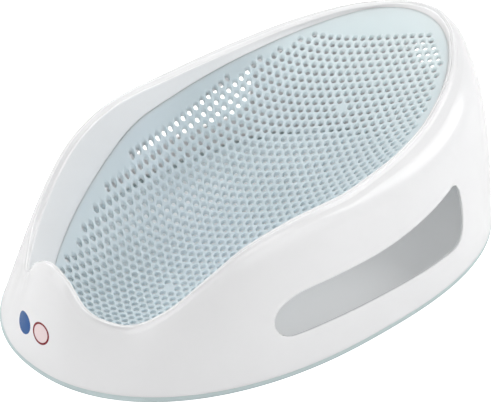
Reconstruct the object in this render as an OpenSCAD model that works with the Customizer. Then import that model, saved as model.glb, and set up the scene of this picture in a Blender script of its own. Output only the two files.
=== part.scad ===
// Baby bath support: a hollow white shell with a rolled rim, a soft perforated seat
// that lies in a stepped pocket of the rim, and a soft strip round the bottom edge.
// The head end is at +X, the foot end at -X, the floor is z = 0. Units are millimetres.

/* [Overall size] */
// Length of the bottom edge from head to foot
length = 580; // [540:1:620]
// Width of the bottom edge
width = 371; // [345:1:395]
// Height of the rim at the head end
head_height = 204; // [190:1:220]

/* [Rim] */
// Height of the rim along both sides, above the windows
side_height = 154; // [148:1:160]
// Height of the rim where the legs pass over it
leg_dip_height = 67; // [64:1:74]
// Height of the raised nose between the legs
nose_height = 114; // [106:1:122]
// Thickness of the moulded shell wall
wall = 2.8; // [2.4:0.1:3.4]

/* [Seat] */
// Thickness of the soft seat panel
seat_thickness = 3; // [2.4:0.1:3.6]
// Width of the shell flange that carries the edge of the seat
flange_width = 11; // [9:0.5:14]
// Gap left between the seat panel and its pocket in the shell
seat_clearance = 0.2; // [0.15:0.05:0.35]
// Size of each drain hole, measured across its corners
drain_hole = 12.5; // [9:0.5:13]
// Distance between drain holes in a row
drain_pitch = 19.4; // [18.6:0.2:34]

/* [Windows] */
// Height of the lower edge of both side windows above the floor
window_sill = 42; // [38:1:47]
// Height of the foot end of both side windows
window_height = 46; // [40:1:48]
// Extra height of the windows at their pointed head end
window_sweep = 25; // [16:1:27]
// Width of the hanging slot behind the head
slot_width = 76; // [60:1:90]
// Height of the hanging slot behind the head
slot_height = 30; // [22:1:36]

/* [Base strip] */
// Height of the soft strip seen round the bottom edge
strip_height = 5; // [4:0.5:7]
// Thickness of the soft strip under the shell edge
strip_floor = 2; // [1.5:0.1:2.5]
// Gap left between the shell edge and the groove of the strip
strip_clearance = 0.15; // [0.1:0.05:0.25]

/* [Hidden] */
kx = length / 580;
ky = width / 371;
kz = head_height / 204;
stations = 72;
seat_stations = 48;
drain_start = 10.8;
strip_lip = 1.3;
shell_colour = [0.95, 0.95, 0.95];
seat_colour = [0.78, 0.86, 0.89];
strip_colour = [0.75, 0.81, 0.82];

// Rim stations: angle from the head, inset of the rim from the bottom edge,
// how round the shoulder of the outer wall is, how far the rim is rounded off,
// and the width of its flat crown.
rim_plan = [
  [0, 25.5, 0.78, 7, 4.5],
  [8, 35.5, 0.76, 7, 4.5],
  [15, 50, 0.74, 7, 4.5],
  [30, 66, 0.72, 7, 4.5],
  [45, 62.5, 0.68, 7, 5],
  [60, 54, 0.6, 7, 6],
  [75, 47, 0.5, 7, 7],
  [90, 42, 0.42, 7, 8],
  [105, 42, 0.36, 7, 8],
  [120, 43, 0.3, 7, 8],
  [135, 43, 0.22, 7, 8],
  [145, 39.5, 0.16, 7, 8],
  [154, 34, 0.12, 7, 7],
  [161, 31, 0.1, 7, 4.5],
  [167, 26.5, 0.12, 7, 4],
  [171, 23.5, 0.16, 8, 5],
  [175, 22, 0.2, 9, 6],
  [180, 22, 0.22, 9, 6]
];

// Heights of the rim at its stations, each tied to a named height.
head_rise = head_height - side_height;
dip_drop = side_height - leg_dip_height;
nose_rise = nose_height - leg_dip_height;
rim_height = [
  [0, head_height - 1],
  [8, side_height + 0.94 * head_rise],
  [15, side_height + 0.82 * head_rise],
  [30, side_height + 0.5 * head_rise],
  [45, side_height + 0.25 * head_rise],
  [60, side_height + 0.11 * head_rise],
  [75, side_height + 0.04 * head_rise],
  [90, side_height - 0.01 * dip_drop],
  [105, side_height - 0.01 * dip_drop],
  [120, side_height - 0.04 * dip_drop],
  [135, side_height - 0.19 * dip_drop],
  [145, side_height - 0.47 * dip_drop],
  [154, side_height - 0.82 * dip_drop],
  [161, leg_dip_height],
  [167, leg_dip_height + 0.08 * nose_rise],
  [171, leg_dip_height + 0.29 * nose_rise],
  [175, leg_dip_height + 0.77 * nose_rise],
  [180, nose_height]
];

// Height of the seat along its middle line, foot to head.
seat_line = [
  [-240, 33],
  [-205, 16.5],
  [-180, 10],
  [-150, 8.6],
  [-120, 12],
  [-75, 24],
  [-15, 49.5],
  [45, 81.5],
  [105, 118],
  [165, 155.5],
  [225, 190],
  [262, 205]
];

function clamp(v, low, high) = min(max(v, low), high);
function lerp(a, b, t) = a + (b - a) * t;

// Smooth curve through the rows of a table, by column.
function slope_at(rows, j, k) =
  let (a = max(j - 1, 0), b = min(j + 1, len(rows) - 1), flat = (rows[0][0] == 0) && (j == 0 || j == len(rows) - 1))
  flat ? 0 : (rows[b][k] - rows[a][k]) / (rows[b][0] - rows[a][0]);
function segment(rows, v) = max([for (j = [0 : len(rows) - 2]) if (j == 0 || rows[j][0] <= v) j]);
function along(rows, v, k = 1) =
  let (
    x = clamp(v, rows[0][0], rows[len(rows) - 1][0]),
    j = segment(rows, x),
    h = rows[j + 1][0] - rows[j][0],
    t = (x - rows[j][0]) / h,
    t2 = t * t,
    t3 = t2 * t
  )
  (2 * t3 - 3 * t2 + 1) * rows[j][k] + (t3 - 2 * t2 + t) * h * slope_at(rows, j, k)
  + (3 * t2 - 2 * t3) * rows[j + 1][k] + (t3 - t2) * h * slope_at(rows, j + 1, k);

// Radius of a rounded outline at an angle.
function outline(a, head, foot, half, n_head, n_foot) =
  let (
    c = cos(a),
    s = abs(sin(a)),
    len_x = c > 0 ? head : foot,
    n = c > 0 ? n_head : n_foot
  )
  pow(pow(abs(c) / len_x, n) + pow(s / half, n), -1 / n);
function fold(a) = abs(a > 180 ? a - 360 : a);
function base_radius(a) = outline(a, 290, 290, 185.5, 2.57, 2.17);
function seat_radius(a) = outline(a, 253.5, 243, 130.5, 2, 2);

// Top of the seat above the floor, at a place in the plan of the nominal size.
function seat_rise(x, y) = (along(seat_line, x) + (39 - 0.134 * x) * pow(abs(y) / 100, 2.54)) * kz;

// Each station has its own upright plane. Its scale and direction follow the size.
function spread(a) = sqrt(pow(cos(a) * kx, 2) + pow(sin(a) * ky, 2));
function place(a, p) = [p[0] * cos(a) * kx / spread(a), p[0] * sin(a) * ky / spread(a), p[1]];

// Outer face of the shell at a station, for a height from 0 to 1 of the rim.
function wall_point(a, t) =
  let (
    f = fold(a),
    w = along(rim_plan, f, 2),
    g = (1 - w) * t + w * (1 - pow(1 - t * t * t, 1 / 3)),
    lift = 1 + 0.28 * (1 - w) * along(rim_plan, f, 3)
  )
  [(base_radius(a) - along(rim_plan, f, 1) * g) * spread(a), (along(rim_height, f) + lift) * t];

// Where the seat pocket starts.
function pocket_radius(a) = seat_radius(a) * spread(a);
function seat_top(a, r) = let (n = r / spread(a)) seat_rise(n * cos(a), n * sin(a));
function seat_tilt(a, r) = (seat_top(a, r + 1) - seat_top(a, r - 1)) / 2;
function upright(a, r, t) = t * sqrt(1 + pow(seat_tilt(a, r), 2) + pow(side_tilt(a, r), 2));
function side_tilt(a, r) = (seat_top(a + 0.5, r) - seat_top(a - 0.5, r)) / (r * PI / 180);
function seat_under(a, r, t) = seat_top(a, r) - upright(a, r, t);

function unit(v) = v / max(norm(v), 0.001);
function bend(p, q, s, t) = (1 - t) * (1 - t) * p + 2 * t * (1 - t) * q + t * t * s;
function inward(p, q, d) = let (u = unit(q - p)) [u[1] * -d, u[0] * d];

// Corner q of the path p, q, s moved by d into the wall.
function inner_corner(p, q, s, d) =
  let (m = inward(p, q, 1), n = inward(q, s, 1))
  q + (m + n) * d / (1 + m * n);

wall_steps = [0.12, 0.25, 0.4, 0.55, 0.7, 0.83, 0.93];

// Closed section of the shell at a station: up the outer face, over the rim and its
// flat crown, down to the seat, along the flange and back along the inside.
function shell_section(a) =
  let (
    f = fold(a),
    w = along(rim_plan, f, 2),
    top = wall_point(a, 1),
    soft = along(rim_plan, f, 3),
    start = 1 - soft * (1 - w) / top[1],
    p1 = wall_point(a, start),
    e = [pocket_radius(a), seat_top(a, pocket_radius(a))],
    crown = min(along(rim_plan, f, 4), 0.8 * (top[0] - e[0])),
    edge = top + [-crown, -0.06 * crown],
    p2 = top + unit(edge - top) * min(soft - 1, 0.45 * crown),
    turn = min(2.4, 0.45 * crown),
    p3 = edge + unit(top - edge) * turn,
    p4 = edge + unit(e - edge) * turn,
    r_in = pocket_radius(a) - flange_width,
    deep = seat_thickness + seat_clearance,
    foot = wall_point(a, strip_height / top[1]),
    tongue = strip_lip + strip_clearance,
    low = strip_height / top[1],
    steps = [for (s = wall_steps) lerp(low, start, s)],
    outer = [for (t = steps) wall_point(a, t)],
    inner = [for (k = [len(steps) - 1 : -1 : 0])
      outer[k] + inward(wall_point(a, steps[k] - 0.01), wall_point(a, steps[k] + 0.01), wall)],
    under_top = inner_corner(p1, top, edge, wall),
    under_edge = inner_corner(top, edge, e, wall)
  )
  concat(
    [[foot[0] - tongue, strip_floor + strip_clearance], [foot[0] - tongue, strip_height], foot],
    outer,
    [p1, bend(p1, top, p2, 0.25), bend(p1, top, p2, 0.5), bend(p1, top, p2, 0.75), p2],
    [p3, bend(p3, edge, p4, 0.5), p4],
    [e, [e[0], seat_under(a, e[0], deep)], [r_in, seat_under(a, r_in, deep)]],
    [[r_in, seat_under(a, r_in, deep + wall)], [e[0] + 0.6 * wall, seat_under(a, e[0], deep + wall)]],
    [[min(under_edge[0], under_top[0] - 0.4), under_edge[1]], under_top],
    [p1 + inward(wall_point(a, start - 0.03), p1, wall)],
    inner,
    [[foot[0] - tongue - wall, strip_height], [foot[0] - tongue - wall, strip_floor + strip_clearance]]
  );

// Closed ring of sections, joined by triangles.
module ring(sections) {
  n = len(sections);
  m = len(sections[0]);
  points = [for (s = sections) for (p = s) p];
  sides = [for (i = [0 : n - 1]) for (j = [0 : m - 1])
    let (a = i * m + j, b = i * m + (j + 1) % m, c = ((i + 1) % n) * m + (j + 1) % m, d = ((i + 1) % n) * m + j)
    each [[a, b, c], [a, c, d]]];
  polyhedron(points = points, faces = sides, convexity = 10);
}

// Side window outline, drawn with its sill on y = 0 and its foot end at x = 0.
function window_outline() =
  let (
    r = window_height / 2,
    far = 262,
    tip = window_height + window_sweep
  )
  concat(
    [for (k = [0 : 8]) [r - r * sin(k * 22.5) * 1.05, r - r * cos(k * 22.5)]],
    [for (k = [1 : 10]) let (t = k / 10) [r + 6 + (far - 16 - r) * t, window_height + window_sweep * pow(t, 2.5) - 0.6 * (1 - t)]],
    [[far - 5.5, tip - 0.6], [far - 3, tip - 4], [far + 1, tip - 20], [far + 4, 32], [far + 3.6, 18]],
    [for (k = [0 : 4]) [far - 11 + 14 * cos(k * 22.5), 14 - 14 * sin(k * 22.5)]]
  );

// Both windows pass through the outer wall only, and leave the rim and flange whole.
module side_windows() {
  for (side = [-1, 1])
    translate([-114 * kx, side * 173 * ky, window_sill])
      rotate([90, 0, 0])
        linear_extrude(height = 54 * ky, center = true)
          polygon([for (p = window_outline()) [p[0] * kx, p[1]]]);
}

module hanging_slot() {
  r = slot_height / 2;
  translate([length / 2 - 60, 0, 132 * kz])
    rotate([90, 0, 90])
      linear_extrude(height = 100)
        hull() {
          translate([r - slot_width / 2, 0]) circle(r = r, $fn = 24);
          translate([slot_width / 2 - r, 0]) circle(r = r, $fn = 24);
        }
}

module shell() {
  color(shell_colour)
    difference() {
      ring([for (k = [0 : stations - 1]) let (a = k * 360 / stations) [for (p = shell_section(a)) place(a, p)]]);
      side_windows();
      hanging_slot();
    }
}

// Rings of the seat panel, as parts of its outline.
seat_rings = [0.16, 0.34, 0.52, 0.7, 0.86, 1];

module seat_panel() {
  n = seat_stations;
  m = len(seat_rings);
  function at(k, j, side) =
    let (
      a = k * 360 / n,
      r = (pocket_radius(a) - seat_clearance) * seat_rings[j]
    )
    place(a, [r, side == 0 ? seat_top(a, r) : seat_under(a, r, seat_thickness)]);
  tops = [for (k = [0 : n - 1]) for (j = [0 : m - 1]) at(k, j, 0)];
  lows = [for (k = [0 : n - 1]) for (j = [0 : m - 1]) at(k, j, 1)];
  middle = [[0, 0, seat_rise(0, 0)], [0, 0, seat_rise(0, 0) - seat_thickness * 1.15]];
  b = n * m;
  function top_id(k, j) = (k % n) * m + j;
  function low_id(k, j) = b + (k % n) * m + j;
  faces = concat(
    [for (k = [0 : n - 1]) for (j = [0 : m - 2]) each [
      [top_id(k, j), top_id(k + 1, j + 1), top_id(k, j + 1)],
      [top_id(k, j), top_id(k + 1, j), top_id(k + 1, j + 1)],
      [low_id(k, j), low_id(k, j + 1), low_id(k + 1, j + 1)],
      [low_id(k, j), low_id(k + 1, j + 1), low_id(k + 1, j)]
    ]],
    [for (k = [0 : n - 1]) each [
      [2 * b, top_id(k + 1, 0), top_id(k, 0)],
      [2 * b + 1, low_id(k, 0), low_id(k + 1, 0)],
      [top_id(k, m - 1), top_id(k + 1, m - 1), low_id(k + 1, m - 1)],
      [top_id(k, m - 1), low_id(k + 1, m - 1), low_id(k, m - 1)]
    ]]
  );
  polyhedron(points = concat(tops, lows, middle), faces = faces, convexity = 10);
}

// A drain hole is kept when it lies well inside the edge of the seat.
function in_field(x, y) =
  let (a = atan2(y, x), room = seat_radius(a) - norm([x, y]))
  room > flange_width + drain_hole / 2 && x + abs(y) * 0.58 < 226;

// Rows of drain holes on both sides of the middle line, each shifted by half a pitch.
module drain_holes() {
  row = drain_pitch * sqrt(3) / 2;
  rows = floor(130 / row);
  across = ceil(270 / drain_pitch);
  for (k = [-rows : rows])
    for (i = [-across : across]) {
      x = drain_pitch * (i + (k % 2 == 0 ? 0 : 0.5)) + drain_start;
      y = row * k;
      if (in_field(x, y))
        translate([x * kx, y * ky, seat_rise(x, y) - seat_thickness / 2])
          cylinder(d = drain_hole, h = 12 * seat_thickness, center = true, $fn = 6);
    }
}

module soft_seat() {
  color(seat_colour)
    difference() {
      seat_panel();
      drain_holes();
    }
}

// Section of the soft strip: a channel that grips the bottom edge of the shell.
function strip_section(a) =
  let (
    h = wall_point(a, 1)[1],
    top = wall_point(a, strip_height / h),
    low = wall_point(a, 0),
    groove = top[0] - strip_lip,
    inner = groove - wall - 2 * strip_clearance
  )
  [
    [low[0] - 0.6, 0],
    [low[0], 0.6],
    [top[0], strip_height - 0.1],
    [groove, strip_height - 0.1],
    [groove, strip_floor],
    [inner, strip_floor],
    [inner, strip_height - 0.1],
    [inner - strip_lip, strip_height - 0.1],
    [inner - strip_lip, 0]
  ];

module grip_strip() {
  color(strip_colour)
    ring([for (k = [0 : stations - 1]) let (a = k * 360 / stations) [for (p = strip_section(a)) place(a, p)]]);
}

shell();
soft_seat();
grip_strip();
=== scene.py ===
"""Baby bath support: hollow white moulding, soft perforated seat and soft base strip.

The head end is at +X, the foot end at -X, the near side of the photo at -Y and the floor is z = 0.
Sizes in the classes are millimetres, as in the part's own source. Meshes are written in metres.
"""

import logging
import math
from dataclasses import dataclass, field
from enum import Enum
from typing import Iterable, Sequence

import bmesh
import bpy
from mathutils import Matrix, Vector


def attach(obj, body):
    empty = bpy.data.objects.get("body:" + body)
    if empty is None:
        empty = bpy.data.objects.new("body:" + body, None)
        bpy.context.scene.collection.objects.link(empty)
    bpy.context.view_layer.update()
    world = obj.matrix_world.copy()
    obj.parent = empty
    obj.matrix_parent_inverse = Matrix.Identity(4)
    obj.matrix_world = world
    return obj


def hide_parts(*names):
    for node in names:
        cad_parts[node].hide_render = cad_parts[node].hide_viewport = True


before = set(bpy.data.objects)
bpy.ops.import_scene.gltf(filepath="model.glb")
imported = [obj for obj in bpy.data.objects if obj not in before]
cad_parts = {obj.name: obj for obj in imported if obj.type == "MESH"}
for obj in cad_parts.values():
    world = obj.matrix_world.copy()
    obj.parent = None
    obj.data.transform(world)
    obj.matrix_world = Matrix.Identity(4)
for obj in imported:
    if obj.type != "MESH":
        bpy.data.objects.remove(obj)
MM = 0.001
MERGE = 0.01 * MM
WHITE = (1.0, 1.0, 1.0, 1.0)
LOG = logging.getLogger("bath_support")
Row = tuple[float, ...]


def smooth_table(rows: Sequence[Row], value: float, column: int = 1) -> float:
    """Read a smooth curve through the rows of a short table.

    Args:
        rows: Rows whose first number is the place along the curve, in rising order.
        value: Place to read at; it is held inside the table.
        column: Which number of the rows is read.

    Returns:
        The value of the curve there.
    """
    last = len(rows) - 1
    x = min(max(value, rows[0][0]), rows[last][0])
    j = max([0] + [i for i in range(last) if rows[i][0] <= x])

    def slope(i: int) -> float:
        """Find the slope of the curve at a row; it is level at both ends of a table that starts at 0.

        Args:
            i: Number of the row.

        Returns:
            The slope there.
        """
        if rows[0][0] == 0 and i in (0, last):
            return 0.0
        a, b = rows[max(i - 1, 0)], rows[min(i + 1, last)]
        return (b[column] - a[column]) / (b[0] - a[0])

    h = rows[j + 1][0] - rows[j][0]
    t = (x - rows[j][0]) / h
    low, high = rows[j][column], rows[j + 1][column]
    return (
        (2 * t**3 - 3 * t**2 + 1) * low
        + (t**3 - 2 * t**2 + t) * h * slope(j)
        + (3 * t**2 - 2 * t**3) * high
        + (t**3 - t**2) * h * slope(j + 1)
    )


def mix(a: float, b: float, t: float) -> float:
    """Blend of a and b, a at t = 0."""
    return a + (b - a) * t


def held(value: float) -> float:
    """Value held between 0 and 1."""
    return min(max(value, 0.0), 1.0)


def arc(a: Vector, corner: Vector, b: Vector, t: float) -> Vector:
    """Point on the rounding that leads from a past a corner to b."""
    return (1 - t) ** 2 * a + 2 * t * (1 - t) * corner + t * t * b


def bearing(x: float, y: float) -> float:
    """Angle of a point in plan, in degrees round the middle."""
    return math.degrees(math.atan2(y, x))


def vertices(made: Iterable[object]) -> list[bmesh.types.BMVert]:
    """Vertices among the elements that an operator made."""
    return [g for g in made if isinstance(g, bmesh.types.BMVert)]


@dataclass
class BathForm:
    """Shared form of the support: base outline, rim, seat surface and wall.

    Angles are degrees round the middle, 0 at the head and 180 at the foot.
    """

    half_length: float = 290.0
    half_width: float = 185.5
    head_fullness: float = 2.57
    foot_fullness: float = 2.17
    head_height: float = 204.0
    side_height: float = 154.0
    leg_dip_height: float = 67.0
    nose_height: float = 114.0
    wall: float = 2.8
    seat_head: float = 253.5
    seat_foot: float = 243.0
    seat_half_width: float = 130.5
    seat_thickness: float = 3.0
    seat_clearance: float = 0.1
    flange_width: float = 11.0
    strip_height: float = 5.0
    strip_floor: float = 2.0
    strip_lip: float = 1.3
    strip_clearance: float = 0.15
    # sides of the seat: rise at 100 mm from its middle line, how much of it each millimetre toward
    # the head takes away, and how sharply it turns up
    bowl_rise: float = 39.0
    bowl_fall: float = 0.134
    bowl_power: float = 2.54
    # upward sweep of the seat's edge beside the hips: rate, distance from the middle line at which it
    # starts, its middle along the seat and its reach
    sweep_rate: float = 0.006
    sweep_start: float = 95.0
    sweep_middle: float = -58.0
    sweep_reach: float = 45.0
    # height that the rounding takes off the rim's corner: the same all round, and for each millimetre of
    # its reach where the shoulder is square
    corner_lift: float = 1.0
    corner_share: float = 0.28
    # angle, inset of the rim from the base, roundness of the shoulder, reach of the rim's rounding,
    # width of the flat crown of the rim
    rim_plan: tuple[Row, ...] = (
        (0, 25.5, 0.78, 7, 4.5),
        (8, 35.5, 0.76, 7, 4.5),
        (15, 50, 0.74, 7, 4.5),
        (30, 66, 0.72, 7, 4.5),
        (45, 62.5, 0.68, 7, 5),
        (60, 54, 0.6, 7, 6),
        (75, 47, 0.5, 7, 7),
        (90, 42, 0.42, 7, 8),
        (105, 42, 0.36, 7, 8),
        (120, 43, 0.3, 7, 8),
        (135, 43, 0.22, 7, 8),
        (145, 39.5, 0.16, 7, 8),
        (154, 34, 0.12, 7, 7),
        (161, 31, 0.1, 7, 4.5),
        (167, 26.5, 0.12, 7, 4),
        (171, 23.5, 0.16, 8, 5),
        (175, 22, 0.2, 9, 6),
        (180, 22, 0.22, 9, 6),
    )
    # height of the seat along its middle line, foot to head
    seat_line: tuple[Row, ...] = (
        (-240, 33),
        (-205, 16.5),
        (-180, 10),
        (-150, 8.6),
        (-120, 12),
        (-75, 24),
        (-15, 49.5),
        (45, 81.5),
        (105, 118),
        (165, 155.5),
        (225, 190),
        (262, 205),
    )
    rim_rows: tuple[Row, ...] = field(init=False)

    def __post_init__(self) -> None:
        """Tie the heights of the rim to its named heights."""
        side, dip = self.side_height, self.leg_dip_height
        head, drop, nose = self.head_height - side, side - dip, self.nose_height - dip
        self.rim_rows = (
            (0, self.head_height - 1),
            (8, side + 0.94 * head),
            (15, side + 0.82 * head),
            (30, side + 0.5 * head),
            (45, side + 0.25 * head),
            (60, side + 0.11 * head),
            (75, side + 0.04 * head),
            (90, side - 0.01 * drop),
            (105, side - 0.01 * drop),
            (120, side - 0.04 * drop),
            (135, side - 0.19 * drop),
            (145, side - 0.47 * drop),
            (154, side - 0.82 * drop),
            (161, dip),
            (167, dip + 0.08 * nose),
            (171, dip + 0.29 * nose),
            (175, dip + 0.77 * nose),
            (180, self.nose_height),
        )

    @staticmethod
    def outline(angle: float, ends: tuple[float, float], half: float, powers: tuple[float, float]) -> float:
        """Find the radius of a rounded outline.

        Args:
            angle: Where on the outline.
            ends: Its reach to the head and to the foot.
            half: Its half width.
            powers: How full it is at the head and at the foot; 2 is an ellipse.

        Returns:
            The radius at the angle.
        """
        c, s = math.cos(math.radians(angle)), abs(math.sin(math.radians(angle)))
        end = 0 if c > 0 else 1
        n = powers[end]
        return ((abs(c) / ends[end]) ** n + (s / half) ** n) ** (-1 / n)

    def base_radius(self, angle: float) -> float:
        """Radius of the bottom edge."""
        ends, powers = (self.half_length, self.half_length), (self.head_fullness, self.foot_fullness)
        return self.outline(angle, ends, self.half_width, powers)

    def seat_radius(self, angle: float) -> float:
        """Radius of the edge of the seat."""
        return self.outline(angle, (self.seat_head, self.seat_foot), self.seat_half_width, (2, 2))

    def seat_rise(self, x: float, y: float) -> float:
        """Find the height of the top of the seat above the floor.

        Args:
            x: Place along the support.
            y: Place across it.

        Returns:
            The height.
        """
        bowl = (self.bowl_rise - self.bowl_fall * x) * (abs(y) / 100) ** self.bowl_power
        hip = math.exp(-(((x - self.sweep_middle) / self.sweep_reach) ** 2))
        sweep = self.sweep_rate * max(abs(y) - self.sweep_start, 0) ** 2 * hip
        return smooth_table(self.seat_line, x) + bowl + sweep

    def seat_at(self, angle: float, radius: float) -> float:
        """Height of the seat at an angle and a radius."""
        a = math.radians(angle)
        return self.seat_rise(radius * math.cos(a), radius * math.sin(a))

    def upright(self, x: float, y: float) -> float:
        """Find how much taller a wall of unit thickness stands where the seat slopes.

        Args:
            x: Place along the support.
            y: Place across it.

        Returns:
            The height of the wall over its thickness.
        """
        gx = (self.seat_rise(x + 1, y) - self.seat_rise(x - 1, y)) / 2
        gy = (self.seat_rise(x, y + 1) - self.seat_rise(x, y - 1)) / 2
        return math.sqrt(1 + gx * gx + gy * gy)

    def rim_height(self, angle: float) -> float:
        """Find the height of the rim's corner, before it is rounded off.

        Args:
            angle: Where on the rim.

        Returns:
            The height.
        """
        f = abs(angle)
        roundness, reach = smooth_table(self.rim_plan, f, 2), smooth_table(self.rim_plan, f, 3)
        lift = self.corner_lift + self.corner_share * (1 - roundness) * reach
        return smooth_table(self.rim_rows, f) + lift

    def wall_point(self, angle: float, t: float) -> Vector:
        """Find a point of the wall's outer face.

        Args:
            angle: Where round the support.
            t: Share of the height, 0 at the floor and 1 at the rim.

        Returns:
            The point as (radius, height).
        """
        f = abs(angle)
        w = smooth_table(self.rim_plan, f, 2)
        g = (1 - w) * t + w * (1 - (1 - held(t) ** 3) ** (1 / 3))
        return Vector((self.base_radius(f) - smooth_table(self.rim_plan, f, 1) * g, self.rim_height(f) * t))

    @staticmethod
    def place(angle: float, radius: float, height: float) -> Vector:
        """Point in metres from an angle, a radius and a height in millimetres."""
        a = math.radians(angle)
        return Vector((radius * math.cos(a), radius * math.sin(a), height)) * MM


class Edge(Enum):
    """Which plan coordinate a window is drawn against, with the angles that its wall lies between."""

    ALONG_LENGTH = (5.0, 175.0)
    ACROSS_WIDTH = (-60.0, 60.0)


@dataclass
class WallWindow:
    """One opening in the outer wall, drawn in side view.

    The four sides run foot to head or left to right along the bottom, up, back along the top and down.
    The columns and rows are the patch of the wall's sheet that is cleared for it.
    """

    name: str
    edge: Edge
    side: int
    columns: tuple[float, float]
    rows: tuple[float, float]
    corners: tuple[int, int, int, int]
    points: tuple[Row, ...]
    rings: int = 5
    fine_steps: int = 200

    def curve(self, place: float) -> Vector:
        """Follow a smooth closed curve through the outline's points.

        Args:
            place: Where on the curve, counted in points.

        Returns:
            The point there.
        """
        n = len(self.points)
        i, t = int(math.floor(place)) % n, place - math.floor(place)
        p = [Vector(self.points[(i + k) % n]) for k in (-1, 0, 1, 2)]
        return 0.5 * (
            2 * p[1]
            + (p[2] - p[0]) * t
            + (2 * p[0] - 5 * p[1] + 4 * p[2] - p[3]) * t * t
            + (3 * p[1] - p[0] - 3 * p[2] + p[3]) * t**3
        )

    def side_points(self, start: int, end: int, count: int) -> list[Vector]:
        """Space points evenly along one side of the outline.

        Args:
            start: The point that the side starts at.
            end: The point that it ends at.
            count: How many points.

        Returns:
            The points, without the last one of the side.
        """
        steps, span = self.fine_steps, (end - start) % len(self.points)
        fine = [self.curve(start + span * k / steps) for k in range(steps + 1)]
        run = [0.0]
        for a, b in zip(fine, fine[1:]):
            run.append(run[-1] + (b - a).length)
        out, j = [], 0
        for k in range(count):
            want = run[-1] * k / count
            while run[j + 1] < want:
                j += 1
            out.append(fine[j].lerp(fine[j + 1], (want - run[j]) / (run[j + 1] - run[j])))
        return out


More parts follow.
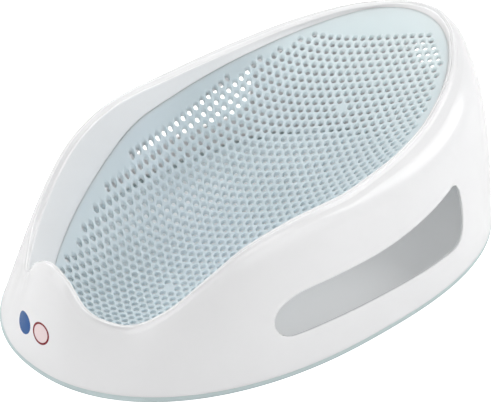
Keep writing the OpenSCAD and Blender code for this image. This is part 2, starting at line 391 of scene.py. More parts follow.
@dataclass
class ShellMoulding:
    """The white moulding: outer wall, rolled rim, inner band, seat pocket and flange.

    It is one sheet whose rows are counted by a row place: below 0 the tongue in the strip, 0 to 1 the
    wall, 1 to 2 the rim's rounding, 2 to 3 its crown, 3 to 4 the crown's inner edge, 4 to 5 the inner
    band, 5 to 6 the step down round the seat and 6 to 7 the flange under it.
    """

    form: BathForm
    windows: Sequence[WallWindow]
    columns: int = 384
    crowd: float = 0.3
    wall_rows: int = 22
    rim_steps: int = 16
    crown_rows: int = 4
    edge_steps: int = 4
    band_rows: int = 6
    edge_round: float = 0.4
    edge_segments: int = 3
    inner_edge: float = 1.4
    # the crown's greatest share of the room beside the seat, its fall inward, and the greatest share
    # of a stretch that a rounding takes
    crown_share: float = 0.8
    crown_fall: float = 0.06
    round_share: float = 0.45
    dish: float = 0.7
    # the bead: its height, where along the rounding it starts, peaks and ends, and the way it rises
    bead: float = 1.5
    bead_run: tuple[float, float, float] = (0.35, 0.65, 0.95)
    bead_way: tuple[float, float] = (0.3, 0.95)
    # the angles over which it grows lower toward the nose, and what is left of it there
    bead_calm: tuple[float, float, float] = (150.0, 170.0, 0.4)
    # steps that close in on a place of the wall, and how far round its patch a window's border is looked for
    search_steps: int = 40
    patch_reach: tuple[float, float] = (2.0, 0.08)

    def rows(self) -> list[float]:
        """List the row places of the sheet, from the tongue in the strip up and over to the flange.

        Returns:
            The row places in rising order.
        """
        wall = [self.wall_share(k / self.wall_rows) for k in range(self.wall_rows)]
        rim = [1 + k / self.rim_steps for k in range(self.rim_steps)]
        crown = [2 + k / self.crown_rows for k in range(self.crown_rows)]
        edge = [3 + k / self.edge_steps for k in range(self.edge_steps)]
        band = [4 + k / self.band_rows for k in range(self.band_rows)]
        return [-2, -1, *wall, *rim, *crown, *edge, *band, 5, 6, 6.5, 7]

    @staticmethod
    def wall_share(share: float) -> float:
        """Row place of a wall row, closer together toward the rim."""
        return 0.5 * math.sin(math.pi / 2 * share) ** 0.9 + 0.5 * share

    def angle(self, share: float) -> float:
        """Angle of a column, closer together at the foot, where the nose is narrow."""
        return share * 180 + self.crowd * math.degrees(math.sin(math.pi * share))

    def span(self, angle: float) -> tuple[float, float]:
        """Find where the wall is plain.

        Args:
            angle: Where round the support.

        Returns:
            The lowest and the highest share of the rim's height.
        """
        form, f = self.form, abs(angle)
        height = form.rim_height(f)
        soft = smooth_table(form.rim_plan, f, 3) * (1 - smooth_table(form.rim_plan, f, 2))
        return form.strip_height / height, 1 - soft / height

    def rim_corners(self, angle: float) -> tuple[Vector, Vector, Vector]:
        """Find the corners that the rim is rounded from.

        Args:
            angle: Where round the support.

        Returns:
            The outer corner of the rim, the inner corner of its crown and the edge of the seat pocket.
        """
        form, f = self.form, abs(angle)
        top = form.wall_point(f, 1)
        e_r = form.seat_radius(f)
        pocket = Vector((e_r, form.seat_at(f, e_r)))
        crown = min(smooth_table(form.rim_plan, f, 4), self.crown_share * (top.x - e_r))
        inner = top + Vector((-crown, -self.crown_fall * crown))
        return top, inner, pocket

    def section(self, angle: float, s: float) -> Vector:
        """Find a point of the shell's outer sheet.

        Args:
            angle: Where round the support.
            s: Row place.

        Returns:
            The point as (radius, height).
        """
        form = self.form
        low, start = self.span(angle)
        if s < 0:
            foot = form.wall_point(angle, low)
            height = form.strip_height if s > -1.5 else form.strip_floor + form.strip_clearance
            return Vector((foot.x - form.strip_lip - form.strip_clearance, height))
        if s <= 1:
            return form.wall_point(angle, mix(low, start, s))
        top, inner, pocket = self.rim_corners(angle)
        flat, fall = inner - top, pocket - inner
        roll = min(smooth_table(form.rim_plan, abs(angle), 3) - 1, self.round_share * flat.length)
        turn = min(self.inner_edge, self.round_share * flat.length, self.round_share * fall.length)
        crown_start = top + flat.normalized() * roll
        crown_end = inner - flat.normalized() * turn
        band_start = inner + fall.normalized() * turn
        if s <= 2:
            return arc(form.wall_point(angle, start), top, crown_start, s - 1) + self.roll(angle, s - 1)
        if s <= 3:
            sunk = self.dish * math.sin(math.pi * (s - 2)) ** 2
            return crown_start.lerp(crown_end, s - 2) - Vector((0, sunk))
        if s <= 4:
            return arc(crown_end, inner, band_start, s - 3)
        if s <= 5:
            return band_start.lerp(pocket, s - 4)
        deep = form.seat_thickness + form.seat_clearance
        radius = pocket.x - form.flange_width * max(s - 6, 0)
        a = math.radians(angle)
        x, y = radius * math.cos(a), radius * math.sin(a)
        return Vector((radius, form.seat_rise(x, y) - deep * form.upright(x, y) * min(s - 5, 1)))

    def roll(self, angle: float, t: float) -> Vector:
        """Find the rise of the bead that runs round the outside of the rim.

        Args:
            angle: Where round the support.
            t: Where on the rounding, 0 at the wall and 1 at the crown.

        Returns:
            The rise as (radius, height).
        """
        start, peak, end = self.bead_run
        share = (t - start) / (peak - start) if t < peak else (end - t) / (end - peak)
        first, last, left = self.bead_calm
        calm = mix(1, left, held((abs(angle) - first) / (last - first)))
        lift = self.bead * calm * (0.5 - 0.5 * math.cos(math.pi * held(share)))
        return Vector(self.bead_way) * lift

    def wall_place(self, window: WallWindow, point: Vector) -> tuple[float, float]:
        """Find where an outline's point lies on the wall.

        Args:
            window: The opening.
            point: A point of its outline in side view.

        Returns:
            The angle and the row place.
        """
        form = self.form
        across = window.edge is Edge.ACROSS_WIDTH
        use = math.sin if across else math.cos
        low_a, high_a = window.edge.value
        for _ in range(self.search_steps):
            a = (low_a + high_a) / 2
            t = point.y / form.rim_height(a)
            gap = form.wall_point(a, t).x * use(math.radians(a)) - point.x
            if (gap > 0) == across:
                high_a = a
            else:
                low_a = a
        low, start = self.span(a)
        return window.side * a, (point.y / form.rim_height(a) - low) / (start - low)

    def cut(self, bm: bmesh.types.BMesh, window: WallWindow) -> None:
        """Open a window in the flat sheet and fit rings of faces round its outline.

        Args:
            bm: The sheet, x as angle and y as row place.
            window: The opening.
        """
        a0, a1 = window.columns
        s0, s1 = window.rows
        inside = []
        for face in bm.faces:
            c = face.calc_center_median()
            if a0 < c.x < a1 and s0 < c.y < s1:
                inside.append(face)
        bmesh.ops.delete(bm, geom=inside, context="FACES")
        border = [e for e in bm.edges if e.is_boundary and self.near_patch(e, window)]
        xs = sorted({round(v.co.x, 4) for e in border for v in e.verts})
        ys = sorted({round(v.co.y, 4) for e in border for v in e.verts})
        c = window.corners
        right, top = len(xs) - 1, len(ys) - 1
        loop = window.side_points(c[0], c[1], right) + window.side_points(c[1], c[2], top)
        loop += window.side_points(c[2], c[3], right) + window.side_points(c[3], c[0], top)
        places = [self.wall_place(window, p) for p in loop]
        order = [(i, 0) for i in range(right)] + [(right, j) for j in range(top)]
        order += [(i, top) for i in range(right, 0, -1)] + [(0, j) for j in range(top, 0, -1)]
        if places[0][0] > places[right][0]:
            order = [(right - i, j) for i, j in order]
        target = dict(zip(order, places))
        column_layer, row_layer = bm.verts.layers.int["column"], bm.verts.layers.int["row"]
        for v in {v for e in border for v in e.verts}:
            v[column_layer] = min(range(right + 1), key=lambda k: abs(xs[k] - v.co.x))
            v[row_layer] = min(range(top + 1), key=lambda k: abs(ys[k] - v.co.y))
        ring = border
        for k in range(1, window.rings + 1):
            made = bmesh.ops.extrude_edge_only(bm, edges=ring)["geom"]
            share = k / window.rings
            for v in vertices(made):
                i, j = v[column_layer], v[row_layer]
                v.co = Vector((xs[i], ys[j], 0)).lerp(Vector((*target[i, j], 0)), share)
            ring = [g for g in made if isinstance(g, bmesh.types.BMEdge) and g.is_boundary]

    def near_patch(self, edge: bmesh.types.BMEdge, window: WallWindow) -> bool:
        """Tell whether an edge lies on the border of the cleared patch.

        Args:
            edge: An edge of the sheet's border.
            window: The opening that the patch is cleared for.

        Returns:
            Whether it does.
        """
        mid = (edge.verts[0].co + edge.verts[1].co) / 2
        a0, a1 = window.columns
        s0, s1 = window.rows
        room_a, room_s = self.patch_reach
        return a0 - room_a < mid.x < a1 + room_a and s0 - room_s < mid.y < s1 + room_s

    def build(self) -> bpy.types.Object:
        """Make the moulding's mesh and give its wall a thickness.

        Returns:
            The finished piece.
        """
        rows = self.rows()
        bm = bmesh.new()
        bmesh.ops.create_grid(bm, x_segments=self.columns, y_segments=len(rows) - 1, size=1)
        for v in bm.verts:
            v.co.x = self.angle(v.co.x)
            v.co.y = rows[round((v.co.y + 1) / 2 * (len(rows) - 1))]
        bm.verts.layers.int.new("column")
        bm.verts.layers.int.new("row")
        for window in self.windows:
            self.cut(bm, window)
        for v in bm.verts:
            angle, s = v.co.x, v.co.y
            p = self.section(angle, s)
            v.co = self.form.place(angle, p.x, p.y)
        bmesh.ops.remove_doubles(bm, verts=bm.verts, dist=MERGE)
        bmesh.ops.recalc_face_normals(bm, faces=bm.faces)
        outward(bm)
        piece = finish_mesh("shell_moulding", bm)
        wall = piece.modifiers.new("wall", "SOLIDIFY")
        wall.thickness = self.form.wall * MM
        wall.offset = -1
        wall.use_even_offset = True
        soften(piece, self.edge_round * MM, self.edge_segments)
        return piece


@dataclass
class SoftSeat:
    """The perforated soft panel that lies in the pocket of the moulding.

    Its holes lie on a six-sided pattern. Rows of holes run along the support and are counted across it.
    """

    form: BathForm
    pitch: float = 8.93
    hole: float = 7.1
    hole_below: float = 4.8
    hole_sides: int = 12
    hole_match: float = 0.2
    edge_round: float = 0.35
    edge_gap: float = 0.05
    merge: float = 0.05
    # a hole of the row beside the middle one; the middle row's own holes lie half a pitch off it, and
    # two of its places stay closed
    start: float = 171.54
    blanks: tuple[float, float] = (131.4, -109.8)
    # room between the field and the panel's edge: toward the head, toward the foot, and at the toes
    margin: float = 9.0
    foot_margin: float = 10.8
    toe_margin: float = 7.0
    toe_start: float = -175.0
    # the field's head edge follows two rows that meet beside the middle line, counted in cells
    head_cells: tuple[float, float] = (6.5, 8.5)
    foot_end: float = -201.0
    # cells laid out along and across, and how far toward the foot they start
    cells: tuple[int, int] = (62, 38)
    foot_reach: float = 262.0

    @property
    def rise(self) -> float:
        """Distance between two rows of holes."""
        return self.pitch * math.sqrt(3) / 2

    def edge_radius(self, x: float, y: float) -> float:
        """Radius of the panel's edge beside a point in plan."""
        return self.form.seat_radius(bearing(x, y)) - self.edge_gap

    def in_field(self, x: float, y: float) -> bool:
        """Tell whether a hole lies inside the perforated field.

        Args:
            x: Middle of the hole along the support.
            y: Middle of the hole across it.

        Returns:
            Whether it does.
        """
        if abs(y) < 1 and min(abs(x - b) for b in self.blanks) < self.pitch / 2:
            return False
        k = -y / self.rise - 1
        i = (x - self.start) / self.pitch - k / 2
        room = self.form.seat_radius(bearing(x, y)) - math.hypot(x, y)
        inside = room > (self.foot_margin if x < 0 else self.margin)
        inside = inside or (x < self.toe_start and room > self.toe_margin)
        return inside and i < self.head_cells[0] and i + k < self.head_cells[1] and x > self.foot_end

    def drafted(self, x: float, y: float) -> tuple[float, float]:
        """Move a point of the underside, where the holes are narrower than on top.

        Args:
            x: Place of the point along the support.
            y: Place across it.

        Returns:
            Its new place.
        """
        for row in (math.floor(y / self.rise), math.ceil(y / self.rise)):
            first = self.start - self.pitch / 2 * (1 - row % 2)
            middle = Vector((first + self.pitch * round((x - first) / self.pitch), row * self.rise))
            out = Vector((x, y)) - middle
            if abs(out.length - self.hole / 2) < self.hole_match and self.in_field(*middle):
                return tuple(middle + out * self.hole_below / self.hole)
        return x, y

    def cell(self, bm: bmesh.types.BMesh) -> None:
        """Draw one six-sided cell of the field with its round hole.

        Args:
            bm: The empty bmesh that takes it.
        """
        half, sixth = self.pitch / 2, math.radians(30)
        bmesh.ops.create_circle(bm, segments=self.hole_sides, radius=self.hole / 2, cap_ends=False)
        made = bmesh.ops.extrude_edge_only(bm, edges=bm.edges[:])["geom"]
        for v in vertices(made):
            step = round(math.atan2(v.co.y, v.co.x) / sixth)
            v.co = v.co.normalized() * (half if step % 2 == 0 else half / math.cos(sixth))

    @staticmethod
    def repeat(bm: bmesh.types.BMesh, shifts: Sequence[Vector]) -> None:
        """Copy what the sheet holds to other places.

        Args:
            bm: The sheet.
            shifts: Where each copy goes.
        """
        base = bm.verts[:] + bm.edges[:] + bm.faces[:]
        for shift in shifts:
            made = bmesh.ops.duplicate(bm, geom=base)["geom"]
            bmesh.ops.translate(bm, vec=shift, verts=vertices(made))

    def lay_out(self) -> bmesh.types.BMesh:
        """Lay the cells out as a flat sheet and close those off the field.

        Returns:
            The sheet in millimetres.
        """
        bm = bmesh.new()
        self.cell(bm)
        along, across = self.cells
        self.repeat(bm, [Vector((i * self.pitch, 0, 0)) for i in range(1, along)])
        self.repeat(bm, [Vector((self.pitch / 2 * (k % 2), k * self.rise, 0)) for k in range(1, across)])
        middle_row = across // 2
        before = round((self.start + self.foot_reach) / self.pitch)
        first = self.start - before * self.pitch + self.pitch / 2 * (1 - middle_row % 2)
        bmesh.ops.translate(bm, vec=Vector((first, -middle_row * self.rise, 0)), verts=bm.verts[:])
        bmesh.ops.remove_doubles(bm, verts=bm.verts[:], dist=self.merge)
        plain = [e for ring in self.rings(bm) if not self.open_ring(ring) for e in ring]
        filled = bmesh.ops.holes_fill(bm, edges=plain, sides=0)["faces"]
        bmesh.ops.poke(bm, faces=filled)
        return bm

    def trim(self, bm: bmesh.types.BMesh) -> None:
        """Trim the flat sheet to the panel's edge.

        Args:
            bm: The sheet.
        """
        far = [f for f in bm.faces if all(self.beyond(v.co) for v in f.verts)]
        bmesh.ops.delete(bm, geom=far, context="FACES")
        for v in bm.verts:
            limit, reach = self.edge_radius(v.co.x, v.co.y), math.hypot(v.co.x, v.co.y)
            if reach > limit:
                v.co *= limit / reach
        bmesh.ops.dissolve_degenerate(bm, edges=bm.edges[:], dist=self.merge)
        outward(bm, up=True)

    def build(self) -> bpy.types.Object:
        """Give the trimmed sheet its thickness and shape it to the seat.

        Returns:
            The finished piece.
        """
        form = self.form
        bm = self.lay_out()
        self.trim(bm)
        upper = bmesh.ops.extrude_face_region(bm, geom=bm.faces[:])["geom"]
        bmesh.ops.translate(bm, vec=Vector((0, 0, 1)), verts=vertices(upper))
        bmesh.ops.translate(bm, vec=Vector((0, 0, -1)), verts=bm.verts[:])
        for v in bm.verts:
            x, y, depth = v.co
            if depth < 0:
                x, y = self.drafted(x, y)
            height = form.seat_rise(x, y) + depth * form.seat_thickness * form.upright(x, y)
            v.co = Vector((x, y, height)) * MM
        bmesh.ops.recalc_face_normals(bm, faces=bm.faces)
        piece = finish_mesh("soft_seat_panel", bm)
        soften(piece, self.edge_round * MM, 1)
        return piece

    def rings(self, bm: bmesh.types.BMesh) -> list[list[bmesh.types.BMEdge]]:
        """Collect the edges round each hole of the laid-out cells.

        Args:
            bm: The sheet.

        Returns:
            One list of edges for each hole.
        """
        rings, seen = [], set()
        for v in bm.verts:
            if v in seen or not v.is_boundary:
                continue
            ring, stack = set(), [v]
            while stack:
                w = stack.pop()
                if w in seen:
                    continue
                seen.add(w)
                edges = [e for e in w.link_edges if e.is_boundary]
                ring.update(edges)
                stack.extend(e.other_vert(w) for e in edges)
            if len(ring) == self.hole_sides:
                rings.append(list(ring))
        return rings

    def open_ring(self, ring: Sequence[bmesh.types.BMEdge]) -> bool:
        """Whether the hole inside a ring stays open."""
        middle = sum((e.verts[0].co + e.verts[1].co for e in ring), Vector()) / (2 * len(ring))
        return self.in_field(middle.x, middle.y)

    def beyond(self, point: Vector) -> bool:
        """Whether a point in plan lies outside the panel's edge."""
        return math.hypot(point.x, point.y) > self.edge_radius(point.x, point.y)


@dataclass
class GripStrip:
    """The soft channel that grips the bottom edge of the moulding."""

    form: BathForm
    columns: int = 288
    # how far the strip's upper edge stays below the wall's step
    sink: float = 0.1
    # eased corners. Outer heel: how far in the underside starts to lift, the point between (in and up),
    # and its height. Outer and inner brow: across and down. Inner heel: the same both ways.
    heel_flat: float = 1.1
    heel_turn: tuple[float, float] = (0.35, 0.12)
    heel_height: float = 0.8
    brow: tuple[float, float] = (0.3, 0.5)
    inner_brow: tuple[float, float] = (0.3, 0.4)
    inner_heel: float = 0.4

    def section(self, angle: float) -> list[Vector]:
        """Draw the closed section of the strip.

        Args:
            angle: Where round the support.

        Returns:
            Its points as (radius, height), the first one again at the end.
        """
        form = self.form
        low = form.wall_point(angle, 0).x
        top = form.wall_point(angle, form.strip_height / form.rim_height(angle)).x
        groove = top - form.strip_lip
        inner = groove - form.wall - 2 * form.strip_clearance
        back = inner - form.strip_lip
        rise = form.strip_height - self.sink
        points = [
            (low - self.heel_flat, 0),
            (low - self.heel_turn[0], self.heel_turn[1]),
            (low, self.heel_height),
            (top, rise - self.brow[1]),
            (top - self.brow[0], rise),
            (groove, rise),
            (groove, form.strip_floor),
            (inner, form.strip_floor),
            (inner, rise),
            (back + self.inner_brow[0], rise),
            (back, rise - self.inner_brow[1]),
            (back, self.inner_heel),
            (back + self.inner_heel, 0),
        ]
        return [Vector(p) for p in points + points[:1]]

    def build(self) -> bpy.types.Object:
        """Sweep the section round the bottom edge.

        Returns:
            The finished piece.
        """
        count = len(self.section(0))
        bm = bmesh.new()
        bmesh.ops.create_grid(bm, x_segments=self.columns, y_segments=count - 1, size=1)
        cache: dict[float, list[Vector]] = {}
        for v in bm.verts:
            angle = round(v.co.x * 180, 5)
            if angle not in cache:
                cache[angle] = self.section(angle)
            p = cache[angle][round((v.co.y + 1) / 2 * (count - 1))]
            v.co = self.form.place(angle, p.x, p.y)
        bmesh.ops.remove_doubles(bm, verts=bm.verts, dist=MERGE)
        bmesh.ops.recalc_face_normals(bm, faces=bm.faces)
        return finish_mesh("base_grip_strip", bm)


def outward(bm: bmesh.types.BMesh, up: bool = False) -> None:
    """Turn the faces of an open sheet so that its highest faces look up.

    Args:
        bm: The sheet.
        up: Whether every face has to look up, as on a flat sheet.
    """
    if up:
        turned = [f for f in bm.faces if f.normal.z < 0]
        bmesh.ops.reverse_faces(bm, faces=turned)
        return
    bm.normal_update()
    highest = max(bm.faces, key=lambda f: f.calc_center_median().z)
    if highest.normal.z < 0:
        bmesh.ops.reverse_faces(bm, faces=bm.faces[:])


def finish_mesh(name: str, bm: bmesh.types.BMesh) -> bpy.types.Object:
    """Write a bmesh to a new object at the origin, smooth with crisp corners.

    Args:
        name: Name of the piece.
        bm: The finished bmesh, which is freed.

    Returns:
        The new object, linked to the scene.
    """
    mesh = bpy.data.meshes.new(name)
    for face in bm.faces:
        face.smooth = True
    bm.to_mesh(mesh)
    bm.free()
    mesh.set_sharp_from_angle(angle=math.radians(50))
    piece = bpy.data.objects.new(name, mesh)
    bpy.context.scene.collection.objects.link(piece)
    return piece


def soften(piece: bpy.types.Object, width: float, segments: int) -> None:
    """Round the corners of a piece with a small bevel.

    Args:
        piece: The piece.
        width: Width of the bevel in metres.
        segments: Number of its steps.
    """
    bevel = piece.modifiers.new("soft_corners", "BEVEL")
    bevel.width = width
    bevel.segments = segments
    bevel.limit_method = "ANGLE"
    bevel.angle_limit = math.radians(40)
    bevel.profile = 0.5
    bevel.use_clamp_overlap = True
    bevel.harden_normals = False


def linear(hex_colour: str) -> tuple[float, float, float, float]:
    """Turn an sRGB hex colour into linear RGBA.

    Args:
        hex_colour: The colour, as "#RRGGBB".

    Returns:
        Its linear parts and a full alpha.
    """
    parts = [int(hex_colour[i : i + 2], 16) / 255 for i in (1, 3, 5)]
    r, g, b = (c / 12.92 if c <= 0.04045 else ((c + 0.055) / 1.055) ** 2.4 for c in parts)
    return r, g, b, 1.0


def node(
    tree: bpy.types.NodeTree,
    kind: str,
    settings: dict[str, object] | None = None,
    values: dict[str | int, object] | None = None,
    links: dict[str | int, bpy.types.NodeSocket] | None = None,
) -> bpy.types.Node:
    """Add a node.

    Args:
        tree: The node tree.
        kind: Type of the node.
        settings: Its properties.
        values: Values of its inputs.
        links: Sockets that lead into its inputs.

    Returns:
        The new node.
    """
    made = tree.nodes.new(kind)
    for key, value in (settings or {}).items():
        setattr(made, key, value)
    for key, value in (values or {}).items():
        made.inputs[key].default_value = value
    for key, source in (links or {}).items():
        tree.links.new(source, made.inputs[key])
    return made


def new_material(name: str) -> tuple[bpy.types.Material, bpy.types.NodeTree]:
    """Start a material.

    Args:
        name: Its name.

    Returns:
        The material and its emptied node tree.
    """
    material = bpy.data.materials.new(name)
    material.use_nodes = True
    material.node_tree.nodes.clear()
    return material, material.node_tree


@dataclass(frozen=True)
class Finish:
    """A moulded plastic: its colour, gloss, haze and the grain of the tool that made it.

    The haze is light that wanders under the surface. The tones are colours along the length, each with
    its place in millimetres, foot to head, that the colour is multiplied by; they hold the material's own
    tint together with painted light and shade along the length.
    """

    name: str
    colour: str
    shade: str
    roughness: float
    ior: float
    grain_mm: float
    grain_depth_mm: float
    cloud_mm: float = 60.0
    cloud_range: tuple[float, float] = (0.3, 0.7)
    gloss_spread: tuple[float, float] = (0.9, 1.12)
    haze: float = 0.0
    haze_mm: float = 3.0
    tones_with_painted_light: tuple[tuple[float, str], ...] = ()
    marks: tuple["PrintedMark", ...] = ()

    def build(self) -> bpy.types.Material:
        """Make the node material.

        Returns:
            The material.
        """
        material, tree = new_material(self.name)
        out = node(tree, "ShaderNodeOutputMaterial")
        spot = node(tree, "ShaderNodeTexCoord").outputs["Object"]
        cloud = node(
            tree,
            "ShaderNodeTexNoise",
            values={"Scale": 1000 / self.cloud_mm, "Detail": 3.0, "Roughness": 0.55},
            links={"Vector": spot},
        )
        tone = node(tree, "ShaderNodeMix", {"data_type": "RGBA"}, links={"Factor": cloud.outputs["Fac"]})
        tone.inputs["A"].default_value = linear(self.colour)
        tone.inputs["B"].default_value = linear(self.shade)
        colour = tone.outputs["Result"]
        # the tones lay the tint and painted light and shade along the length
        if self.tones_with_painted_light:
            colour = self.lay_tones_and_painted_light(tree, spot, colour)
        for mark in self.marks:
            colour = mark.apply(tree, spot, colour)
        grain = node(
            tree,
            "ShaderNodeTexNoise",
            values={"Scale": 1000 / self.grain_mm, "Detail": 4.0, "Roughness": 0.6},
            links={"Vector": spot},
        )
        relief = node(
            tree,
            "ShaderNodeBump",
            values={"Strength": 1.0, "Distance": self.grain_depth_mm * MM},
            links={"Height": grain.outputs["Fac"]},
        )
        gloss = node(
            tree,
            "ShaderNodeMapRange",
            values={
                "From Min": self.cloud_range[0],
                "From Max": self.cloud_range[1],
                "To Min": self.roughness * self.gloss_spread[0],
                "To Max": self.roughness * self.gloss_spread[1],
            },
            links={"Value": cloud.outputs["Fac"]},
        )
        skin = node(
            tree,
            "ShaderNodeBsdfPrincipled",
            values={
                "IOR": self.ior,
                "Subsurface Weight": self.haze,
                "Subsurface Radius": (1.0, 1.0, 1.0),
                "Subsurface Scale": self.haze_mm * MM,
            },
            links={
                "Base Color": colour,
                "Roughness": gloss.outputs["Result"],
                "Normal": relief.outputs["Normal"],
            },
        )
        tree.links.new(skin.outputs["BSDF"], out.inputs["Surface"])
        return material

    def lay_tones_and_painted_light(
        self, tree: bpy.types.NodeTree, spot: bpy.types.NodeSocket, under: bpy.types.NodeSocket
    ) -> bpy.types.NodeSocket:
        """Tint a colour by the tones along the length, which carry the tint and painted light and shade.

        Args:
            tree: The material's nodes.
            spot: Object coordinates.
            under: Colour that the tones are laid over.

        Returns:
            The tinted colour.
        """
        along = node(tree, "ShaderNodeSeparateXYZ", links={"Vector": spot}).outputs["X"]
        first, last = self.tones_with_painted_light[0][0], self.tones_with_painted_light[-1][0]
        ends = {"From Min": first * MM, "From Max": last * MM, "To Min": 0.0, "To Max": 1.0}
        place = node(tree, "ShaderNodeMapRange", values=ends, links={"Value": along})
        ramp = node(tree, "ShaderNodeValToRGB", links={"Fac": place.outputs["Result"]})
        stops = ramp.color_ramp.elements
        for x, _ in self.tones_with_painted_light[1:-1]:
            stops.new((x - first) / (last - first))
        for stop, (_, tone) in zip(stops, self.tones_with_painted_light):
            stop.color = linear(tone)
        laid = node(
            tree,
            "ShaderNodeMix",
            {"data_type": "RGBA", "blend_type": "MULTIPLY"},
            {"Factor": 1.0},
            {"A": under, "B": ramp.outputs["Color"]},
        )
        return laid.outputs["Result"]


@dataclass(frozen=True)
class PrintedMark:
    """A plain round spot or ring printed on the outer face of the wall at the foot."""

    across: float
    height: float
    outer: float
    inner: float
    colour: str
    soft_edge: float = 0.25
    # the mark shows where the place along the support, in metres, and the lean of the face both lie
    # further toward the foot than this
    footward: float = -0.2

    def apply(
        self, tree: bpy.types.NodeTree, spot: bpy.types.NodeSocket, under: bpy.types.NodeSocket
    ) -> bpy.types.NodeSocket:
        """Lay the mark's colour over the colour under it.

        Args:
            tree: The material's nodes.
            spot: Object coordinates.
            under: Colour of the wall.

        Returns:
            The colour with the mark on it.
        """
        parts = node(tree, "ShaderNodeSeparateXYZ", links={"Vector": spot})
        flat = node(tree, "ShaderNodeCombineXYZ", links={"Y": parts.outputs["Y"], "Z": parts.outputs["Z"]})
        away = node(
            tree,
            "ShaderNodeVectorMath",
            {"operation": "DISTANCE"},
            {1: (0, self.across * MM, self.height * MM)},
            {0: flat.outputs["Vector"]},
        ).outputs["Value"]
        edges = [(self.outer, -self.soft_edge)]
        if self.inner > 0:
            edges.append((self.inner, self.soft_edge))
        shares = []
        smooth = {"interpolation_type": "SMOOTHSTEP"}
        for radius, soft in edges:
            ends = {"From Min": (radius - soft) * MM, "From Max": (radius + soft) * MM}
            step = node(tree, "ShaderNodeMapRange", smooth, ends, {"Value": away})
            shares.append(step.outputs["Result"])
        facing = node(tree, "ShaderNodeNewGeometry").outputs["Normal"]
        lean = node(tree, "ShaderNodeSeparateXYZ", links={"Vector": facing})
        for side in (parts.outputs["X"], lean.outputs["X"]):
            at_foot = node(tree, "ShaderNodeMath", {"operation": "LESS_THAN"}, {1: self.footward}, {0: side})
            shares.append(at_foot.outputs[0])
        mask = shares[0]
        for share in shares[1:]:
            both = {0: mask, 1: share}
            mask = node(tree, "ShaderNodeMath", {"operation": "MULTIPLY"}, links=both).outputs[0]
        laid = node(tree, "ShaderNodeMix", {"data_type": "RGBA"}, links={"Factor": mask, "A": under})
        laid.inputs["B"].default_value = linear(self.colour)
        return laid.outputs["Result"]


@dataclass(frozen=True)
class Lamp:
    """A square soft lamp that looks at the middle of the support, in metres and watts."""

    name: str
    place: tuple[float, float, float]
    size: float
    watts: float
    aim: tuple[float, float, float] = (0.0, 0.0, 0.08)

    def hang(self) -> None:
        """Add the lamp to the scene."""
        data = bpy.data.lights.new(self.name, "AREA")
        data.shape = "SQUARE"
        data.size = self.size
        data.energy = self.watts
        lamp = bpy.data.objects.new(self.name, data)
        place = Vector(self.place)
        look = (Vector(self.aim) - place).to_track_quat("-Z", "Y")
        lamp.matrix_world = Matrix.Translation(place) @ look.to_matrix().to_4x4()
        bpy.context.scene.collection.objects.link(lamp)


